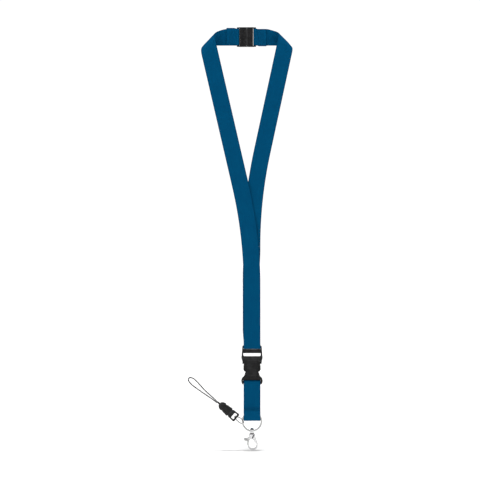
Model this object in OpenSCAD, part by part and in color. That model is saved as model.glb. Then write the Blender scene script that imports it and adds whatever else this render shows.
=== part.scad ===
// Neck lanyard of doubled webbing: breakaway at the neck, side-release buckle,
// sewn tab with a key ring and swivel hook, and a detachable phone holder on a tether.
// It hangs along -Z from the middle of the neck band, with its front towards -Y.

/* [Webbing] */
// Width of the webbing
strap_w = 19.6; // [19:0.1:20]
// Thickness of the webbing
strap_t = 1; // [0.8:0.1:1.1]
// Half of the neck loop's width, from the middle to a folded corner
neck_half = 47.5; // [44:0.5:52]
// Drop from the neck band to where the left leg meets the lower strap
left_merge = 233; // [220:1:236]
// Drop from the neck band to where the right leg meets the lower strap
right_merge = 190; // [184:1:192]
// Radius of the gentle bend from a leg into the lower strap
bend_r = 520; // [480:10:530]
// Sideways offset of the lower strap from the middle of the neck band
axis_x = 6.4; // [5:0.1:8]
// How far the legs and hardware stand in front of the neck band
band_gap = 14; // [13:0.5:15]
// Length of the sewn flap behind each breakaway half, from the middle
flap_x = 23.5; // [21:0.5:25]

/* [Breakaway] */
// Half length of the closed breakaway
break_half = 11.3; // [11:0.1:12]
// Half height of the breakaway
break_h = 11.4; // [11.3:0.1:12]
// Half thickness of the breakaway
break_t = 2.5; // [2.4:0.1:3]

/* [Buckle] */
// Drop from the neck band to the bar that the neck webbing wraps
bar_drop = 363; // [350:1:370]
// Half thickness of the buckle socket
socket_t = 4; // [3.8:0.1:4.5]

/* [Tab and ring] */
// Length of the tab from its bar to the bottom fold
tab_drop = 45.3; // [44:0.1:46]
// Outer radius of the key ring
ring_r = 12; // [11.8:0.1:12.2]
// Radius of the key ring's wire
wire_r = 0.95; // [0.9:0.01:1]

/* [Hook] */
// Half thickness of the hook's bow
bow_t = 1.2; // [1:0.1:1.4]
// Half thickness of the hook's head
head_t = 2.1; // [2:0.1:2.4]

/* [Phone holder] */
// Angle of the holder above the horizontal
clip_angle = 139.7; // [138:0.1:141]
// Diameter of the phone cord
cord_d = 1.3; // [1:0.1:1.4]
// Diameter of the tether cord
tether_d = 0.9; // [0.8:0.1:1]

/* [Hidden] */

$fn = 48;
webbing_blue = [0.02, 0.35, 0.52];
thread_blue = [0.01, 0.22, 0.36];
plastic_black = [0.06, 0.06, 0.065];
nickel = [0.78, 0.78, 0.8];
cord_black = [0.05, 0.05, 0.05];

hard_y = -band_gap;                       // plane of the buckle, ring and hook
fit = 0.15;                               // gap between webbing and a bar
bar_r = 1.4;                              // bar at the top of the plug
wrap_r = bar_r + fit + strap_t / 2;       // middle of the webbing round that bar
neck_bar_r = 1;                           // bars of the breakaway
neck_wrap_r = neck_bar_r + fit + strap_t / 2;
neck_bar_x = break_half - 1.1;
break_y = -neck_wrap_r;                   // the neck band's webbing lies at y = 0
join_gap = 0.4;                           // between the ends of the two neck straps
bar_z = -bar_drop;
mouth_z = bar_z - 11.3;                   // mouth of the buckle socket
end_bar_r = 1.3;
end_bar_z = mouth_z - 29.7;
end_wrap_r = end_bar_r + fit + strap_t / 2;
tab_bottom = end_bar_z - tab_drop;        // outside of the tab's bottom fold
seam_z = tab_bottom + 13.9;
ring_mid_r = ring_r - wire_r;
ring_z = tab_bottom - 0.7;
eye_z = ring_z - ring_mid_r;              // the wire that the eye hangs on
pivot_x = 7.9;                            // flex roots of the buckle's arms
pivot_z = bar_z - 13.8;
eye_base = eye_z - 2.6;
head_top = eye_base - 0.75;
gate_x = -2.5;
gate_z = head_top - 4.3;
bow_x = 0.8;
bow_z = head_top - 12.9;
tether_x = axis_x - ring_mid_r;           // where the tether crosses the ring
clip_x = -11.5;                           // ring-side end of the phone holder
clip_z = ring_z + 3.8;

// ---- small helpers -------------------------------------------------------

function unit(v) = v / norm(v);

// Points of an arc in a plane, from angle a to angle b
function arc(cx, cy, r, a, b, n) =
    [for (i = [0:n]) [cx + r * cos(a + (b - a) * i / n), cy + r * sin(a + (b - a) * i / n)]];

// Points of a smooth curve from a to c that leans towards b
function bow(a, b, c, n) =
    [for (i = [0:n]) let (t = i / n) (1 - t) * (1 - t) * a + 2 * t * (1 - t) * b + t * t * c];

// A right-hand outline joined to its mirror image
function both(p) = concat(p, [for (i = [len(p) - 1:-1:0]) [-p[i][0], p[i][1]]]);

// A flat outline in X and Z, given thickness along Y
module slab(half) {
    rotate([90, 0, 0])
        translate([0, 0, -half])
            linear_extrude(2 * half)
                children();
}

// A profile in Y and Z, drawn out along X
module along_x(width) {
    translate([-width / 2, 0, 0])
        rotate([90, 0, 90])
            linear_extrude(width)
                children();
}

module rod_y(r, half) {
    rotate([90, 0, 0])
        cylinder(r = r, h = 2 * half, center = true);
}

module rod_x(r, half) {
    rotate([0, 90, 0])
        cylinder(r = r, h = 2 * half, center = true);
}

// ---- webbing as a strip of sections: two edge points and a normal --------

function section(a, b, n) =
    [a + n * strap_t / 2, b + n * strap_t / 2, b - n * strap_t / 2, a - n * strap_t / 2];

module strip(sections) {
    count = len(sections);
    polyhedron(
        points = [for (s = sections) each s],
        faces = concat(
            [[0, 1, 2, 3]],
            [for (i = [0:count - 2], k = [0:3])
                let (a = 4 * i + k, b = 4 * i + (k + 1) % 4)
                [a, a + 4, b + 4, b]],
            [[for (k = [3:-1:0]) 4 * (count - 1) + k]]),
        convexity = 10);
}

// The sewn flap, the wrap round the breakaway's bar and the neck band.
// Both neck straps are drawn as the left one; the right one is mirrored.
function flap_sections() =
    let (h = strap_w / 2, near = -strap_t - fit)
    concat(
        [for (p = [[-flap_x, near, 0, -1], [-14, near, 0, -1], [-13.4, near, -0.25, -0.97],
                   [-neck_bar_x - 0.4, -2 * neck_wrap_r, -0.25, -0.97]])
            let (n = unit([p[2], p[3], 0]))
            section([p[0], p[1], h], [p[0], p[1], -h], n)],
        [for (a = [180:-15:0])
            let (n = [sin(a), cos(a), 0])
            let (c = [-neck_bar_x, break_y, 0] + neck_wrap_r * n)
            section(c + [0, 0, h], c - [0, 0, h], n)]);

// The folded corner: the strip rolls round an axis in line with the mitre
function corner_sections(tilt, leg_y) =
    let (h = strap_w / 2,
         roll = -leg_y / 2,
         turn = (90 + tilt) / 2,
         c = [cos(turn), 0, sin(turn)],
         n = [-sin(turn), 0, cos(turn)],
         up = [-sin(tilt), 0, cos(tilt)],
         across = [cos(tilt), 0, sin(tilt)],
         corner = [-neck_half, 0, 0],
         start = n * corner - roll * PI / 2)
    [for (a = [180:-15:0])
        let (reach = start + roll * a * PI / 180,
             normal = n * sin(a) + [0, -cos(a), 0],
             ends = [for (side = [1, -1])
                let (edge = corner + side * h * across,
                     p = edge + (reach - n * edge) / (n * up) * up)
                n * (start + roll * sin(a)) + c * (c * p) + [0, leg_y / 2 - roll * cos(a), 0]])
        section(ends[0], ends[1], normal)];

// The leg bends gently into the lower strap
function leg_sections(tilt, axis, merge, leg_y) =
    let (h = strap_w / 2,
         end_z = -merge - bend_r * tan(tilt / 2),
         centre = [axis - bend_r, leg_y, end_z])
    [for (i = [12:-1:0])
        let (d = [cos(tilt * i / 12), 0, sin(tilt * i / 12)])
        section(centre + (bend_r + h) * d, centre + (bend_r - h) * d, [0, -1, 0])];

// The lower strap wraps the plug's bar and comes back up behind
function bar_sections(axis, top) =
    let (h = strap_w / 2)
    concat(
        [for (a = [0:15:180])
            let (n = [0, -cos(a), -sin(a)])
            let (c = [axis, hard_y, bar_z] + wrap_r * n)
            section(c + [h, 0, 0], c - [h, 0, 0], n)],
        [section([axis + h, hard_y + wrap_r, top], [axis - h, hard_y + wrap_r, top], [0, 1, 0])]);

left_tilt = atan((neck_half + axis_x) / left_merge);
right_tilt = atan((neck_half - axis_x) / right_merge);
join_z = -right_merge - bend_r * tan(right_tilt / 2);
hinge_slope = 0.18;                       // cut that lets the right strap tip outwards

module strap_left() {
    color(webbing_blue)
        strip(concat(flap_sections(),
                     corner_sections(left_tilt, hard_y - wrap_r),
                     leg_sections(left_tilt, axis_x, left_merge, hard_y - wrap_r),
                     bar_sections(axis_x, join_z - join_gap)));
}

module strap_right() {
    h = strap_w / 2;
    y = hard_y + wrap_r;
    color(webbing_blue)
        mirror([1, 0, 0])
            strip(concat(flap_sections(),
                         corner_sections(right_tilt, y),
                         leg_sections(right_tilt, -axis_x, right_merge, y),
                         [section([-axis_x + h, y, join_z - 0.02],
                                  [-axis_x - h, y, join_z - 0.01 + hinge_slope * strap_w],
                                  [0, -1, 0])]));
}

// Two rows of stitches across a flap, each a run of short threads
module neck_stitches() {
    color(thread_blue)
        for (x = [-17, -19.5], z = [-7.5:3:7.5], y = [-strap_t * 1.5 - fit, strap_t / 2])
            translate([x, y, z])
                cylinder(r = 0.25, h = 2, center = true, $fn = 16);
}

module neck_stitching_left() {
    neck_stitches();
}

module neck_stitching_right() {
    mirror([1, 0, 0])
        neck_stitches();
}

// ---- breakaway -----------------------------------------------------------

part_x = 0.6;                             // parting line of the breakaway
tongue_len = 6.2;

// One half without its joint: block, slot, end bar and the two rails
module break_half_body(side, inner) {
    rail = break_h - strap_w / 2 - 0.3;
    difference() {
        translate([side < 0 ? -break_half + 1 : inner, break_y - break_t, -break_h])
            cube([break_half - 1 + (side < 0 ? inner : -inner), 2 * break_t, 2 * break_h]);
        translate([side < 0 ? -break_half - 1 : 7.7, break_y - 5, -break_h + rail])
            cube([break_half + 1 - 7.7, 10, 2 * (break_h - rail)]);
    }
    translate([side * neck_bar_x, break_y, 0])
        cylinder(r = neck_bar_r, h = 2 * break_h, center = true);
}

module grip_ribs(from, to, front) {
    for (x = [from:1.5:to])
        translate([x, front, -break_h + 2])
            cube([0.7, 0.35, 2 * break_h - 4]);
}

module breakaway_socket() {
    color(plastic_black)
        difference() {
            break_half_body(-1, part_x - 0.15);
            translate([part_x - tongue_len - 0.6, break_y - 1.2, -7.2])
                cube([10, 2.4, 14.4]);
            grip_ribs(-6.3, -1, break_y - break_t - 0.01);
        }
}

module breakaway_tongue() {
    color(plastic_black)
        difference() {
            union() {
                break_half_body(1, part_x + 0.15);
                translate([part_x - tongue_len, break_y - 0.9, -6.4])
                    cube([tongue_len + 1, 1.8, 12.8]);
            }
            translate([part_x - tongue_len - 1, break_y - 2, -4.2])
                cube([tongue_len, 4, 2]);
            translate([part_x - tongue_len - 1, break_y - 2, 2.2])
                cube([tongue_len, 4, 2]);
            grip_ribs(2, 6, break_y - break_t - 0.01);
        }
}

// ---- side-release buckle -------------------------------------------------

root_t = 1.7;                             // half thickness of an arm at its root

module buckle_plug() {
    slot_w = 20.4;
    color(plastic_black)
        translate([axis_x, hard_y, bar_z]) {
            rod_x(bar_r, 10.6);
            difference() {
                slab(1.9)
                    polygon(both([[10.8, 1.4], [11.3, 0], [11.9, -8], [12.1, -11.15]]));
                translate([-slot_w / 2, -5, -3.2])
                    cube([slot_w, 10, 6]);
                slab(5)
                    polygon(both([[slot_w / 2, -7.2], [slot_w / 2, -10.3], [slot_w / 2 - 0.7, -11]]));
            }
            // teeth of the ribbed bar
            for (i = [-8:8])
                translate([i * 1.15 - 0.3, -2.25, -6.6])
                    cube([0.6, 0.5, 2.8]);
            // base inside the socket's mouth, with a notch for each arm's root
            difference() {
                translate([-10.2, -2.4, -15])
                    cube([20.4, 4.8, 4]);
                for (side = [-1, 1])
                    translate([side * pivot_x - 1.9, -root_t - fit, -16])
                        cube([3.8, 2 * (root_t + fit), 3.6]);
            }
            // stub that carries each arm's root, and the centre guide
            for (side = [-1, 1])
                translate([side * pivot_x, 0, -13.8])
                    rod_y(0.5, 2.4);
            slab(1.6)
                polygon(both([[1.8, -14.5], [1.8, -23], [1, -24.4]]));
        }
}

// A springy arm, drawn hanging down from its root with its pad towards +X
module release_arm() {
    color(plastic_black)
        difference() {
            union() {
                slab(root_t)
                    polygon([[-1.1, 0], [-1.2, -4], [1.1, -4], [1.1, 0]]);
                slab(2.2)
                    polygon(concat(
                        [[-1.2, -2.4], [-1.3, -5.9], [-2.3, -13.2], [-2.1, -15]],
                        bow([0.3, -15.1], [2.1, -13.4], [2.1, -11.6], 5),
                        [[2.1, -9.9], [1.5, -5.9], [1.1, -4.4], [1.1, -2.4]]));
                rod_y(1.25, root_t);
            }
            rod_y(0.56, 5);
            for (z = [-11.6:1.1:-8.5])
                translate([2, -5, z - 0.25])
                    cube([1, 10, 0.5]);
        }
}

module release_arm_left() {
    translate([axis_x - pivot_x, hard_y, pivot_z])
        mirror([1, 0, 0])
            release_arm();
}

module release_arm_right() {
    translate([axis_x + pivot_x, hard_y, pivot_z])
        release_arm();
}

// Collar, hourglass panels with side windows, waist and the flared strap end
module buckle_socket() {
    collar = [[11.1, -8.3], [11.2, -6.3], [12, -2.5], [12.3, -1.2], [12.4, 0]];
    waist = bow([7.2, -8.3], [3.8, -13.8], [6.9, -18.8], 10);
    flare = bow([8.2, -18.9], [8.3, -22.6], [11.6, -25], 8);
    foot = bow([12.4, -27.6], [12.5, -30.6], [10.9, -32.3], 5);
    slot_w = 20.4;
    color(plastic_black)
        translate([axis_x, hard_y, mouth_z]) {
            difference() {
                union() {
                    slab(socket_t)
                        polygon(both(concat([for (i = [4:-1:0]) collar[i]], waist, [[7.5, -21]])));
                    slab(3.3)
                        polygon(both(concat(flare, foot)));
                }
                slab(2.7)
                    polygon(both([[11.1, 1], [11.1, 0], [9.65, -8.3], [9.65, -18.85]]));
                translate([-slot_w / 2, -10, -36])
                    cube([slot_w, 20, 9.1]);
            }
            translate([0, 0, -29.7])
                rod_x(end_bar_r, 10.8);
        }
}

// ---- tab -----------------------------------------------------------------

// Half of the tab's middle line in Y and Z, from the top of its bar wrap downwards
function tab_half() =
    concat(
        [for (a = [90:15:180]) [end_wrap_r * cos(a), end_bar_z + end_wrap_r * sin(a)]],
        [[-end_wrap_r, seam_z + 14], [-0.75, seam_z + 3], [-0.6, seam_z - 0.3],
         [-3.9, seam_z - 3.4], [-3.7, seam_z - 4.6], [-1.9, tab_bottom + 1.9]],
        [for (a = [195:15:270]) [1.7 * cos(a), tab_bottom + 2.2 + 1.7 * sin(a)]]);

module tab_strap() {
    half = tab_half();
    count = len(half);
    // outline moved sideways by half the webbing's thickness
    function shift(i, d) =
        let (a = half[max(i - 1, 0)], b = half[min(i + 1, count - 1)], t = unit(b - a))
        let (n = i == 0 ? [0, 1] : i == count - 1 ? [0, -1] : [t[1], -t[0]])
        half[i] + d * n;
    color(webbing_blue)
        translate([axis_x, hard_y, 0])
            along_x(strap_w)
                difference() {
                    polygon(both([for (i = [0:count - 1]) shift(i, strap_t / 2)]));
                    polygon(both([for (i = [0:count - 1]) shift(i, -strap_t / 2)]));
                }
}

module tab_stitching() {
    color(thread_blue)
        for (x = [-8:2:8], row = [0.2, 1.8], side = [-1, 1])
            translate([axis_x + x, hard_y + side * (0.6 + strap_t / 2 + row * 0.05), seam_z + row])
                rod_x(0.25, 0.7, $fn = 16);
}

module key_ring() {
    color(nickel)
        translate([axis_x, hard_y, ring_z])
            rotate([90, 0, 0])
                rotate_extrude()
                    translate([ring_mid_r, 0])
                        circle(r = wire_r, $fn = 32);
}

// ---- swivel hook ---------------------------------------------------------

post_r = 1.1;
flange_r = 1.4;                           // foot of the post, held inside the head

module swivel_eye() {
    color(nickel)
        translate([axis_x, hard_y, 0]) {
            difference() {
                union() {
                    translate([0, 0, eye_z])
                        rod_x(2.75, 2.6);
                    translate([-2.6, -2.4, eye_base])
                        cube([5.2, 4.8, 2.6]);
                    translate([0, 0, eye_base - 0.6])
                        cylinder(r = 2.9, h = 1);
                }
                translate([0, 0, eye_z])
                    rod_x(1.45, 5);
                // shoulders that make the eye a dome from the front
                for (side = [-1, 1])
                    slab(3)
                        polygon([[side * 2.7, eye_base + 1], [side * 2.2, eye_z + 1.4],
                                 [side * 1.2, eye_z + 2.8], [side * 4, eye_z + 2.8],
                                 [side * 4, eye_base + 1]]);
            }
            translate([0, 0, head_top - 1.9])
                cylinder(r = post_r, h = eye_base - head_top + 2);
            translate([0, 0, head_top - 2.5])
                cylinder(r = flange_r, h = 0.75);
        }
}

// Teardrop outline round a big circle at the bottom and a small one on top
function teardrop(r, top_r, top_x, top_dz) =
    concat(arc(bow_x, bow_z, r, -90, 18, 14), arc(top_x, bow_z + top_dz, top_r, 10, 170, 8),
           arc(bow_x, bow_z, r, 162, 270, 14));

module hook_body() {
    color(nickel)
        translate([axis_x, hard_y, 0])
            difference() {
                union() {
                    slab(bow_t)
                        difference() {
                            polygon(teardrop(6.1, 3.6, 0, 9.4));
                            polygon(teardrop(4.3, 1.3, 0.4, 5));
                        }
                    slab(head_t)
                        polygon(both(concat([[3.1, head_top], [3.7, head_top - 0.7]],
                                            [[3.9, head_top - 3], [4.2, head_top - 6.2]])));
                }
                // opening of the bow, closed by the gate
                slab(5)
                    polygon([[-8, bow_z + 1], [-3.2, bow_z - 2], [-1, bow_z + 2],
                             [0.4, bow_z + 5.8], [0.4, head_top - 6.1],
                             [-8, head_top - 6.1]]);
                // chamber for the gate's root and its spring
                translate([-6, -1.05, head_top - 7])
                    cube([9.1, 2.1, 5.4]);
                translate([0, 0, head_top - 3])
                    cylinder(r = post_r + 0.07, h = 5);
                translate([0, 0, head_top - 2.7])
                    cylinder(r = flange_r + 0.1, h = 1.1);
                translate([gate_x, 0, gate_z])
                    rod_y(0.55, 5);
                // slanted slit on the front of the head
                slab_slit();
            }
}

module slab_slit() {
    translate([0, -head_t, 0])
        slab(0.6)
            polygon([[1.9, head_top + 1], [2.8, head_top + 1], [0.8, head_top - 4.6],
                     [-0.1, head_top - 4.6]]);
}

module gate_lever() {
    color(nickel)
        translate([axis_x + gate_x, hard_y, gate_z])
            difference() {
                slab(0.95)
                    polygon(concat(
                        // tail under the spring
                        [[3.4, -0.6], [5.3, -0.6], [5.3, -1.25], [1.6, -1.7], [0.3, -2]],
                        // arm that closes the bow
                        [[-0.7, -3.4], [-1.35, -6], [-1.3, -9.8], [-2.95, -8.77], [-3.25, -7.1],
                         [-3.1, -5.6], [-2.6, -3.6], [-2.3, -2.5]],
                        // thumb lever
                        bow([-2.3, -2.5], [-4.2, -4.5], [-6.2, -3.6], 5),
                        bow([-6.2, -3.6], [-7.2, -2.6], [-5.4, -1.4], 5),
                        [[-2.2, -0.1]],
                        arc(0, 0, 1.35, 160, 20, 6)));
                rod_y(0.61, 5);
            }
}

module gate_pin() {
    color(nickel)
        translate([axis_x + gate_x, hard_y, gate_z])
            rod_y(0.55, head_t + 0.15);
}

// Small coil between the chamber's roof and the gate's tail
module gate_spring() {
    top = head_top - 1.65;
    bottom = gate_z - 0.5;
    color(nickel)
        translate([axis_x + 2.25, hard_y, bottom])
            difference() {
                cylinder(r = 0.7, h = top - bottom, $fn = 24);
                translate([0, 0, -1])
                    cylinder(r = 0.35, h = 10, $fn = 24);
            }
}

// ---- cords ---------------------------------------------------------------

// Directions of a route and a steady sideways direction at each point
function headings(p) =
    [for (i = [0:len(p) - 1]) unit(p[min(i + 1, len(p) - 1)] - p[max(i - 1, 0)])];

function sides(t, n, i = 0) =
    i == len(t) ? [] :
    let (m = unit(n - (n * t[i]) * t[i]))
    concat([m], sides(t, m, i + 1));

module cord(p, d, first_side) {
    t = headings(p);
    s = sides(t, first_side);
    count = len(p);
    polyhedron(
        points = [for (i = [0:count - 1], k = [0:7])
            let (u = s[i], v = cross(t[i], s[i]))
            p[i] + d / 2 * (cos(45 * k) * u + sin(45 * k) * v)],
        faces = concat(
            [[for (k = [7:-1:0]) k]],
            [for (i = [0:count - 2], k = [0:7])
                let (a = 8 * i + k, b = 8 * i + (k + 1) % 8)
                [a, b, b + 8, a + 8]],
            [[for (k = [0:7]) 8 * (count - 1) + k]]));
}

// Route of the phone loop: out along the upper strand, back along the lower one
phone_route = [
    [-34.2, -14.3, -427.6], [-36.3, -14.6, -424.8], [-39.8, -14.6, -421.6],
    [-44.6, -14.5, -417.3], [-49.6, -14.4, -412.6], [-55.3, -14.3, -406.2],
    [-58, -14.2, -403.3], [-60.2, -14.1, -401.3], [-62.2, -14, -399.9], [-64, -14, -399.1],
    [-65.6, -14, -398.9], [-67, -14, -399.4], [-67.8, -14, -400.7], [-67.6, -14, -402.4],
    [-66.6, -13.9, -404.2], [-65, -13.9, -406], [-62.8, -13.8, -408.1],
    [-59.4, -13.7, -410.6], [-55.3, -13.6, -413.5], [-49.6, -13.5, -417.5],
    [-44.6, -13.4, -420.9], [-41.2, -13.4, -423.2], [-36.8, -13.4, -426.4],
    [-34.6, -13.7, -428]];

// Route of the tether: through the holder's window, in front of the ring's wire,
// round it and back behind to where it started
tether_route = [
    [-12.6, -14.6, -443.2], [-12.1, -15.7, -443.5], [-11, -16.3, -444.1],
    [-9.4, -16.3, -444.9], [-8, -15.9, -445.4], [-6.4, -15.7, -446.4],
    [-5.1, -15.6, -447.9], [-4.2, -15.5, -449.4], [-3.4, -15, -450.4], [-3, -14, -450.9],
    [-3.3, -13, -451.3], [-4.2, -12.5, -451.9], [-5.4, -12.3, -452.3], [-6.8, -12.1, -452.2],
    [-8.4, -11.9, -451.4], [-9.8, -11.7, -450.2], [-11.4, -11.7, -448.6],
    [-12.4, -11.7, -447.6], [-13.2, -11.7, -446.6], [-13.8, -12.3, -445.5],
    [-13.8, -13.2, -444.5], [-13.3, -13.7, -443.9]];

module phone_cord() {
    color(cord_black)
        cord(phone_route, cord_d, [0, 1, 0]);
}

module tether_cord() {
    color(cord_black)
        cord(tether_route, tether_d, [1, 0, 0]);
}

// ---- phone holder, drawn along +X from its ring-side end -----------------

module at_clip() {
    translate([clip_x, hard_y, clip_z])
        rotate([0, -clip_angle, 0])
            children();
}

clip_pivot = [8.4, 3.7];                  // flex roots of the holder's arms
clip_mouth = 9.4;
clip_side = [[0, 4.6], [0.8, 5.4], [6.8, 5.2], [8.6, 5.05], [9.25, 4.8]];

module clip_plug() {
    color(plastic_black)
        at_clip() {
            difference() {
                slab(1.7)
                    polygon(concat(clip_side, [for (i = [len(clip_side) - 1:-1:0])
                        [clip_side[i][0], -clip_side[i][1]]]));
                slab(5)
                    polygon([[2, -3], [2.6, -3.6], [5.2, -3.6], [5.8, -3], [5.8, 3], [5.2, 3.6],
                             [2.6, 3.6], [2, 3]]);
                for (side = [-1, 1])
                    translate([clip_pivot[0] - 1.1, -1.15, side * clip_pivot[1] - 1.05])
                        cube([5, 2.3, 2.1]);
            }
            for (side = [-1, 1])
                translate([clip_pivot[0], 0, side * clip_pivot[1]])
                    rod_y(0.35, 1.7);
            slab(0.9)
                polygon([[8, -1], [13.6, -1], [14.2, -0.5], [14.2, 0.5], [13.6, 1], [8, 1]]);
        }
}

// An arm of the holder, drawn along +X from its root with its pad towards +Z
module clip_arm() {
    color(plastic_black)
        difference() {
            union() {
                slab(1)
                    polygon([[0, -0.6], [2, -0.6], [2, 0.6], [0, 0.6]]);
                slab(1.3)
                    polygon([[1.3, -0.65], [3.5, -0.7], [9, -0.7], [10.9, -0.3], [11.1, 0.4],
                             [9.8, 1], [8.6, 1.3], [6, 1.5], [3.3, 1.9], [2.6, 1.8], [2.3, 1.2],
                             [2.1, 0.6], [1.3, 0.6]]);
                rod_y(0.75, 1);
            }
            rod_y(0.4, 5);
        }
}

module clip_arm_left() {
    at_clip()
        translate([clip_pivot[0], 0, clip_pivot[1]])
            clip_arm();
}

module clip_arm_right() {
    at_clip()
        translate([clip_pivot[0], 0, -clip_pivot[1]])
            mirror([0, 0, 1])
                clip_arm();
}

module clip_socket() {
    edge = [[clip_mouth, 3.9], [11, 3.7], [13, 3.5], [17.5, 3.5], [19.8, 4.4],
            [20.6, 4.9], [22.4, 4.6], [23.8, 4], [25, 3.1], [25.8, 2.2], [26.1, 1.4]];
    color(plastic_black)
        at_clip()
            difference() {
                slab(2.6)
                    polygon(concat(edge, [for (i = [len(edge) - 1:-1:0]) [edge[i][0], -edge[i][1]]]));
                slab(1.6)
                    polygon([[8, 5], [19.8, 5], [19.8, -5], [8, -5]]);
                translate([22, 0, 0])
                    rod_x(1.1, 6);
                for (z = [-2.1, 0, 2.1])
                    translate([12.5, -3.1, z - 0.45])
                        cube([8.6, 0.9, 0.9]);
            }
}

// Sleeve that gathers the two strands where they enter the holder
module cord_sleeve() {
    color(plastic_black)
        at_clip()
            translate([26.2, 0, 0])
                rod_x(1, 3.6);
}

strap_left();
strap_right();
neck_stitching_left();
neck_stitching_right();
breakaway_socket();
breakaway_tongue();
buckle_plug();
release_arm_left();
release_arm_right();
buckle_socket();
tab_strap();
tab_stitching();
key_ring();
swivel_eye();
hook_body();
gate_lever();
gate_pin();
gate_spring();
tether_cord();
clip_plug();
clip_arm_left();
clip_arm_right();
clip_socket();
cord_sleeve();
phone_cord();
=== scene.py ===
# Visual model of the neck lanyard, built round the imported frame.
# Shapes are worked out in millimetres and go into the scene in metres.
import math

import bmesh
import bpy
from mathutils import Matrix, Vector, noise


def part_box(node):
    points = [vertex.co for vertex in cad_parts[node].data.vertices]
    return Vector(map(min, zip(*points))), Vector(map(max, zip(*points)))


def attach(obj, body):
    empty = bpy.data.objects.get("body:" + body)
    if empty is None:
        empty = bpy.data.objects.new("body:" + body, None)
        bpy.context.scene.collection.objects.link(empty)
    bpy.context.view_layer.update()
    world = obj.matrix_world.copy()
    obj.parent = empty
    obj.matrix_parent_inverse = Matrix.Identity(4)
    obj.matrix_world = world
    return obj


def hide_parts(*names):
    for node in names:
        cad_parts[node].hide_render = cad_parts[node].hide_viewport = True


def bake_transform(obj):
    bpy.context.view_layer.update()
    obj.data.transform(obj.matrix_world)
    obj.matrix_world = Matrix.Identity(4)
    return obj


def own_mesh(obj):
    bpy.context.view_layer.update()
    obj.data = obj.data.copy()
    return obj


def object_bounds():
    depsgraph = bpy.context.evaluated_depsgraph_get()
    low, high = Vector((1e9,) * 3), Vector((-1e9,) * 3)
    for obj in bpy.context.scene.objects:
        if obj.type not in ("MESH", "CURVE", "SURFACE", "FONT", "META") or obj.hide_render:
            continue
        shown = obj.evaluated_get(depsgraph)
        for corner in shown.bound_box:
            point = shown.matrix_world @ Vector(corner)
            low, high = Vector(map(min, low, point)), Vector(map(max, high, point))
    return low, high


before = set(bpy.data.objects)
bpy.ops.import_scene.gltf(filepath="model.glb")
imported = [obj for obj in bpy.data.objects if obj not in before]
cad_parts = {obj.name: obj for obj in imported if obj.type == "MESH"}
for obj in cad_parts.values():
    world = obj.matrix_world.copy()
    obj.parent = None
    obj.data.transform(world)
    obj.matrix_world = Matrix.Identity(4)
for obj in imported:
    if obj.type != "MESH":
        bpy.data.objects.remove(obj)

CAD_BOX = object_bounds()
MM = 0.001
scene = bpy.context.scene
PI = math.pi


def centre_mm(node):
    low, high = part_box(node)
    return (Vector(low) + Vector(high)) / 2 / MM


def size_mm(node):
    low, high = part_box(node)
    return (Vector(high) - Vector(low)) / MM


# ---- positions, from the CAD boxes ----
AXIS_X, HARD_Y, RING_Z = centre_mm("key_ring")    # the hardware's middle line and plane
WIRE_R = size_mm("key_ring").y / 2
RING_MID_R = size_mm("key_ring").x / 2 - WIRE_R
BAR_R = 1.4                                       # bar of the plug that the strap wraps
BAR_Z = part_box("buckle_plug")[1][2] / MM - BAR_R
MOUTH_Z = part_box("buckle_socket")[1][2] / MM      # upper rim of the socket
END_BAR_R = 1.3                                   # bar of the socket that the tab wraps
END_BAR_DROP = 29.7
END_BAR_Z = MOUTH_Z - END_BAR_DROP
TAB_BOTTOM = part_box("tab_strap")[0][2] / MM
SEAM_Z = TAB_BOTTOM + 13.9                        # stitches that close the tab's pocket
BREAK_Y = centre_mm("breakaway_socket").y
BREAK_H = size_mm("breakaway_socket").z / 2
EYE_Z = RING_Z - RING_MID_R                       # the ring's wire in the swivel eye
EYE_BASE = EYE_Z - 2.6
HEAD_TOP = EYE_BASE - 0.75

STRAP_W = 19.6
STRAP_T = 1.0
H = STRAP_W / 2                                   # half the webbing's width
FIT = 0.15                                        # play between the webbing and a bar
WRAP_R = BAR_R + FIT + STRAP_T / 2
NECK_BAR_R = 1.0
NECK_WRAP_R = NECK_BAR_R + FIT + STRAP_T / 2
NECK_BAR_X = 10.2
NECK_HALF = 47.5                                  # half the level length between the corners
LEFT_MERGE = 233.0                                # how far down each leg turns upright
RIGHT_MERGE = 190.0
BEND_R = 520.0                                    # that turn's radius
FLAP_X = 23.5                                     # end of the sewn-back flap
FLAP_Y = 1.08
STITCH_ROWS = (17.0, 19.5)


# ---- camera and cords first ----
CAMERA_DISTANCE = 1.867
camera_data = bpy.data.cameras.new("camera")
camera_data.lens = 120
camera_data.sensor_width = 36
camera_data.clip_end = 50
camera = bpy.data.objects.new("camera", camera_data)
camera.location = (-0.0076, HARD_Y * MM - CAMERA_DISTANCE, -0.2383)
camera.rotation_euler = (PI / 2, 0, 0)
scene.collection.objects.link(camera)
scene.camera = camera
scene.view_settings.view_transform = "Standard"


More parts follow.
